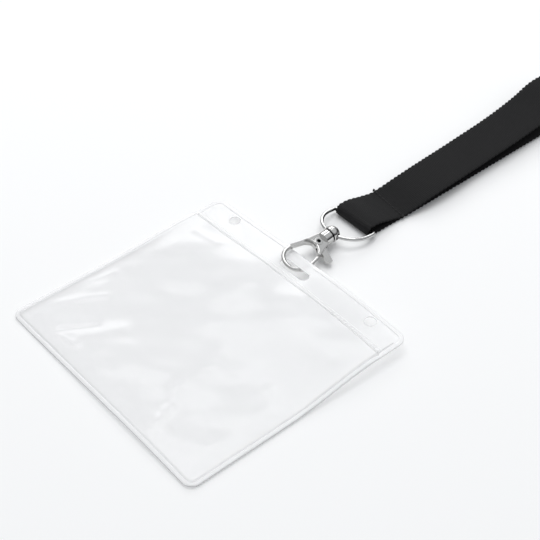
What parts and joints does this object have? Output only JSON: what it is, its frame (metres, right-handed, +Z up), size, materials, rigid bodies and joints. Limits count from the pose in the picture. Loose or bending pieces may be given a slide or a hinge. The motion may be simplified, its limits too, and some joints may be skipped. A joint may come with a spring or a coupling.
{
  "type": "lanyard badge holder",
  "caption": "Clear vinyl badge wallet hanging from a trigger hook with a swivel eye and D-ring on a folded webbing neck lanyard, lying flat.",
  "frame": {"origin": "middle of the wallet's underside, on the surface it lies on", "axes": "+X along the wallet's header, +Y from the closed end of the pocket towards the header, hook and strap, +Z up, out of the wallet's front"},
  "size_m": [0.108, 0.3765, 0.0078],
  "materials": {
    "clear_vinyl": "clear soft vinyl, glossy, slightly rippled",
    "nickel": "polished nickel plate on die-cast zinc",
    "nickel_wire": "nickel-plated drawn wire",
    "spring_steel": "drawn spring wire",
    "black_webbing": "matte ribbed polyester webbing",
    "black_thread": "sewing thread",
    "tie_band": "woven elastic band"
  },
  "bodies": {
    "wallet": {"back_sheet": "clear_vinyl", "front_panel": "clear_vinyl", "header_strip": "clear_vinyl"},
    "hook": {"hook_body": "nickel", "gate_rivet": "nickel", "gate_spring": "spring_steel"},
    "gate": {"gate": "nickel"},
    "eye": {"swivel_eye": "nickel"},
    "ring": {"d_ring": "nickel_wire"},
    "strap": {"strap_fold": "black_webbing", "strap_upper_leg": "black_webbing", "strap_lower_leg": "black_webbing", "seam_thread": "black_thread", "strap_hank": "black_webbing", "hank_tie": "tie_band"}
  },
  "joints": [
    {"name": "hook_turn", "type": "hinge", "parent": "wallet", "child": "hook", "pos_m": [-0.00369, 0.04234, 0.00514], "axis": [-0.1132, 0.9932, -0.0262], "range_deg": [0, 60]},
    {"name": "gate_swing", "type": "hinge", "parent": "hook", "child": "gate", "pos_m": [-0.00566, 0.05962, 0.00469], "axis": [0.3042, 0.0597, 0.9507], "range_deg": [0, 13], "stiffness_Nm_per_rad": 0.004, "springref_deg": -17.19, "deforming": ["gate_spring"]},
    {"name": "swivel", "type": "hinge", "parent": "hook", "child": "eye", "pos_m": [-0.00638, 0.06598, 0.00452], "axis": [-0.1132, 0.9932, -0.0262], "continuous": true},
    {"name": "ring_tilt", "type": "hinge", "parent": "eye", "child": "ring", "pos_m": [-0.00664, 0.06826, 0.00446], "axis": [0.9936, 0.1132, 0], "range_deg": [-60, 60]},
    {"name": "strap_swing", "type": "hinge", "parent": "ring", "child": "strap", "pos_m": [-0.00824, 0.08247, 0.0021], "axis": [0.999, 0.0436, 0], "range_deg": [-50, 50]}
  ]
}
